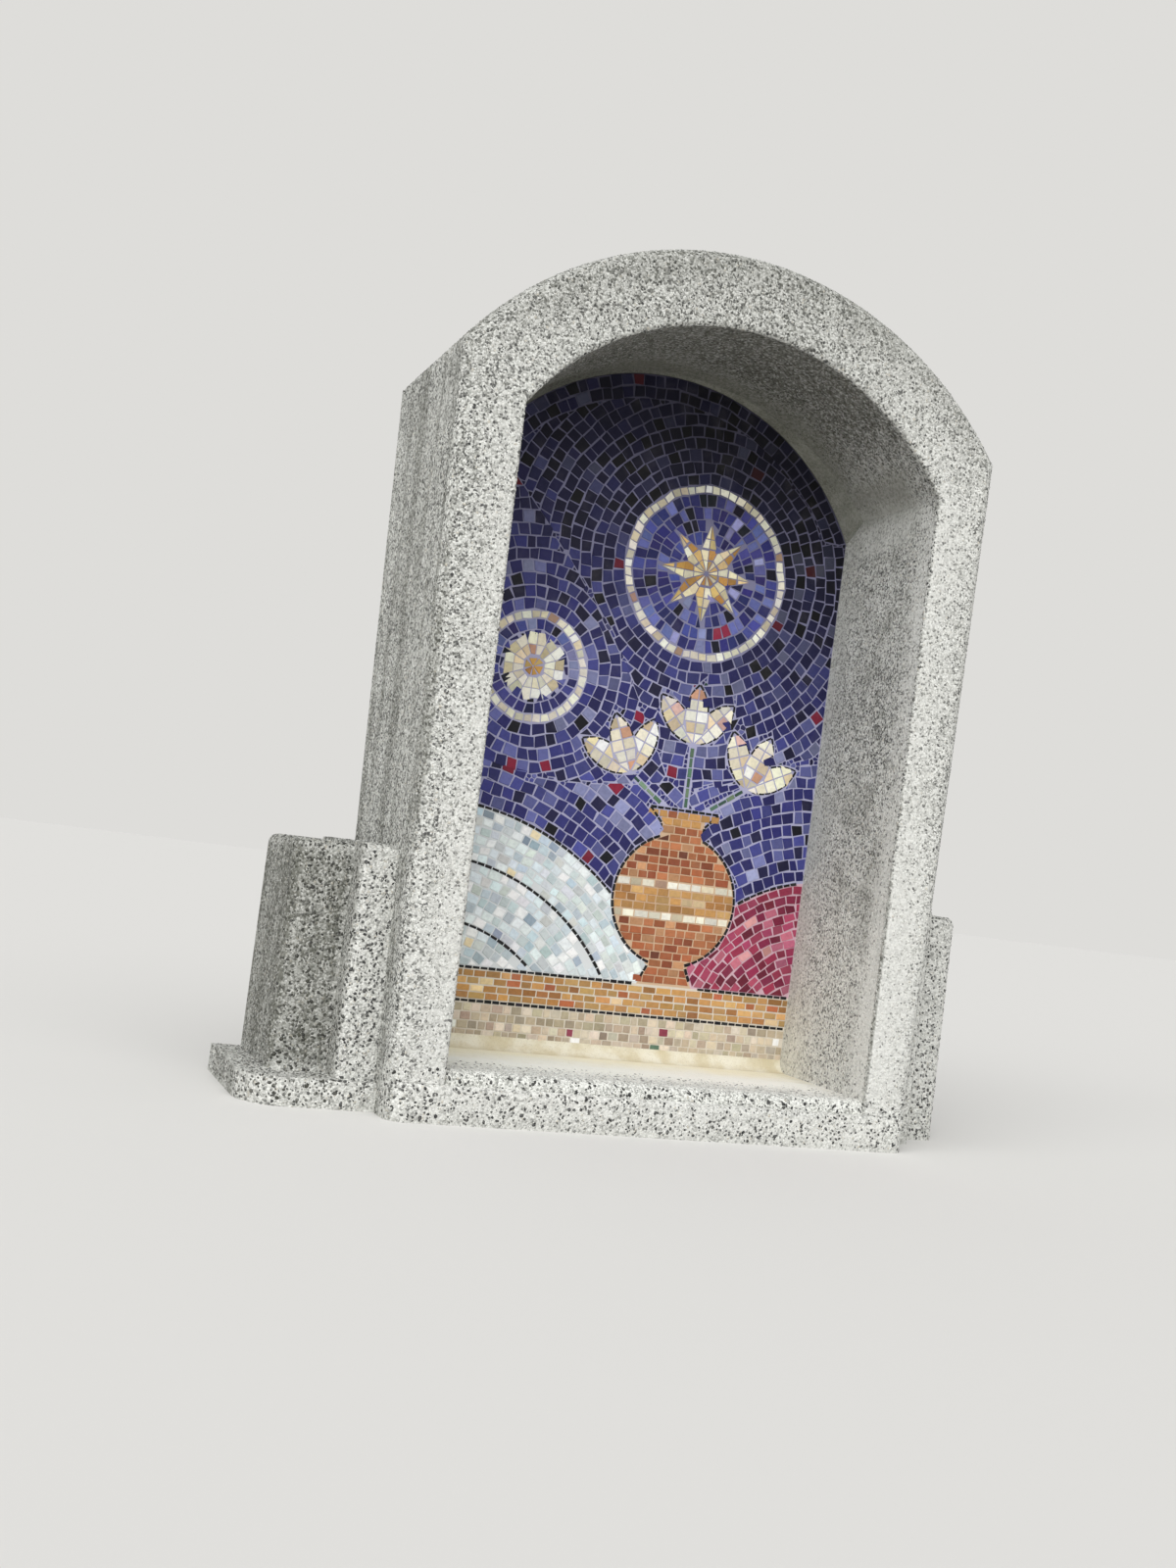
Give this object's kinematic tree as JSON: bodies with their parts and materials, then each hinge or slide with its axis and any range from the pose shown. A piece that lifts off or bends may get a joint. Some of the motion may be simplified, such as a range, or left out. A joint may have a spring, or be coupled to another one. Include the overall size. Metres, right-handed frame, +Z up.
{
  "type": "wayside shrine",
  "caption": "Free-standing rendered masonry niche with a low arched head, stepped wings, a cement sill and a mosaic panel on its back wall.",
  "frame": {"origin": "on the underside of the base block, on the niche's centreline, half way between the body's front and back faces", "axes": "+X to the right along the front, +Y into the niche from the front, +Z up"},
  "size_m": [1.25, 0.388, 1.4129],
  "materials": {
    "pebble_render": "washed pebble aggregate",
    "smooth_cement": "trowelled cement",
    "mortar": "rough mortar",
    "grout": "pale joint mortar",
    "blue_tile": "satin glaze",
    "cream_tile": "satin glaze",
    "ochre_tile": "satin glaze",
    "white_tile": "satin glaze",
    "red_tile": "satin glaze",
    "terracotta_tile": "satin glaze",
    "beige_tile": "satin glaze"
  },
  "bodies": {
    "root": {"base_slab": "pebble_render", "base_left_return": "pebble_render", "sill": "smooth_cement", "sill_mortar_fillet": "mortar", "left_jamb": "pebble_render", "right_jamb": "pebble_render", "arch_left_haunch": "pebble_render", "arch_crown": "pebble_render", "arch_right_haunch": "pebble_render", "back_wall": "pebble_render", "soffit_band": "smooth_cement", "left_inner_wing": "pebble_render", "left_outer_wing": "pebble_render", "right_inner_wing": "pebble_render", "right_outer_wing": "pebble_render", "mosaic_bed": "grout", "mosaic_sky": "blue_tile", "mosaic_large_ring": "cream_tile", "mosaic_star": "ochre_tile", "mosaic_small_ring": "cream_tile", "mosaic_rosette": "cream_tile", "mosaic_pale_hill": "white_tile", "mosaic_red_hill": "red_tile", "mosaic_urn": "terracotta_tile", "mosaic_lilies": "white_tile", "mosaic_upper_step": "ochre_tile", "mosaic_lower_step": "beige_tile"}
  },
  "joints": []
}
